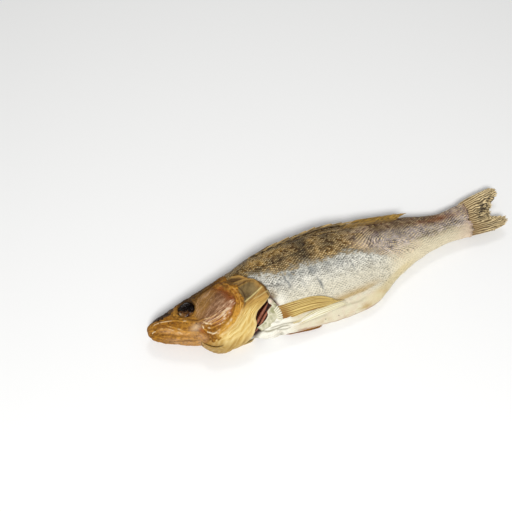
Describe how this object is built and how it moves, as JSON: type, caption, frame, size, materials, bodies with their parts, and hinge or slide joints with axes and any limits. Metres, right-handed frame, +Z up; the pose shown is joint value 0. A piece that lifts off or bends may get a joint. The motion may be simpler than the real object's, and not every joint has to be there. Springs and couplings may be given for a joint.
{
  "type": "dried zander",
  "caption": "Whole dried pike-perch lying on its right side, with closed jaws, gaping gill cover, sunken gutted belly, folded fins and a frayed tail fin.",
  "frame": {"origin": "middle of the footprint, on the surface the fish lies on", "axes": "+X from the snout to the tail, +Y from the belly to the back, +Z up out of the left flank"},
  "size_m": [0.3864, 0.0948, 0.0456],
  "materials": {
    "dried_skin": "semi-matt dried fish skin with fine scales, silvery on the flank and waxy on the head"
  },
  "bodies": {
    "root": {"zander": "dried_skin"}
  },
  "joints": []
}
